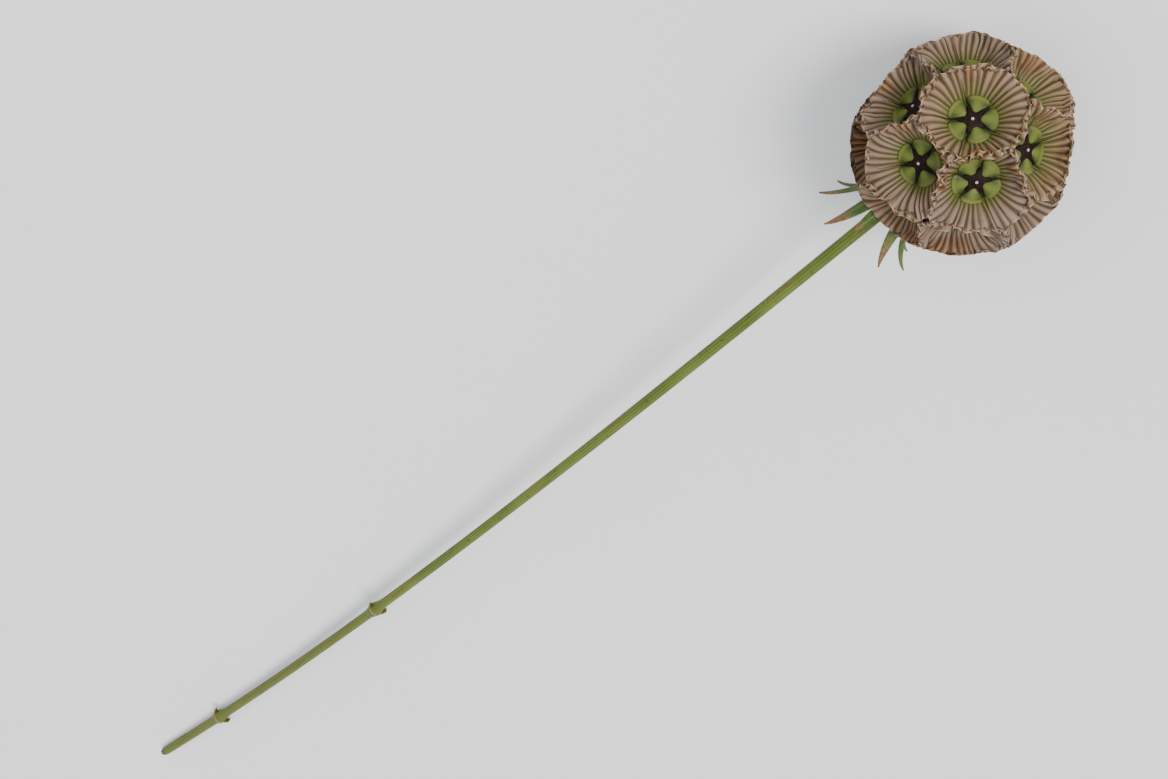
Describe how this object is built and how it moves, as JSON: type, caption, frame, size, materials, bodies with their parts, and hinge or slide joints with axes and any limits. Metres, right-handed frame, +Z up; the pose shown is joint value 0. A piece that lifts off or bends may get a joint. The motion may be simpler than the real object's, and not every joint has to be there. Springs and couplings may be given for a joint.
{
  "type": "starflower scabiosa seed head on a cut stem",
  "caption": "Dried globe-shaped scabiosa seed head of pressed papery collars with dark stars, on a long, gently curved cut stem lying down.",
  "frame": {"origin": "middle of the flower's bounding box, on the surface that it lies on", "axes": "+X along the flower, from the cut end of the stem towards the seed head; +Y across it; +Z up"},
  "size_m": [0.4779, 0.049, 0.047],
  "materials": {
    "papery_collar": "dry and papery, olive to brown, with darker ribs",
    "bract_green": "matt green leaf with brown tips",
    "stem_green": "satin yellow-green with brown flecks"
  },
  "bodies": {
    "root": {"seed_head": "papery_collar", "bracts": "bract_green", "stem": "stem_green"}
  },
  "joints": []
}
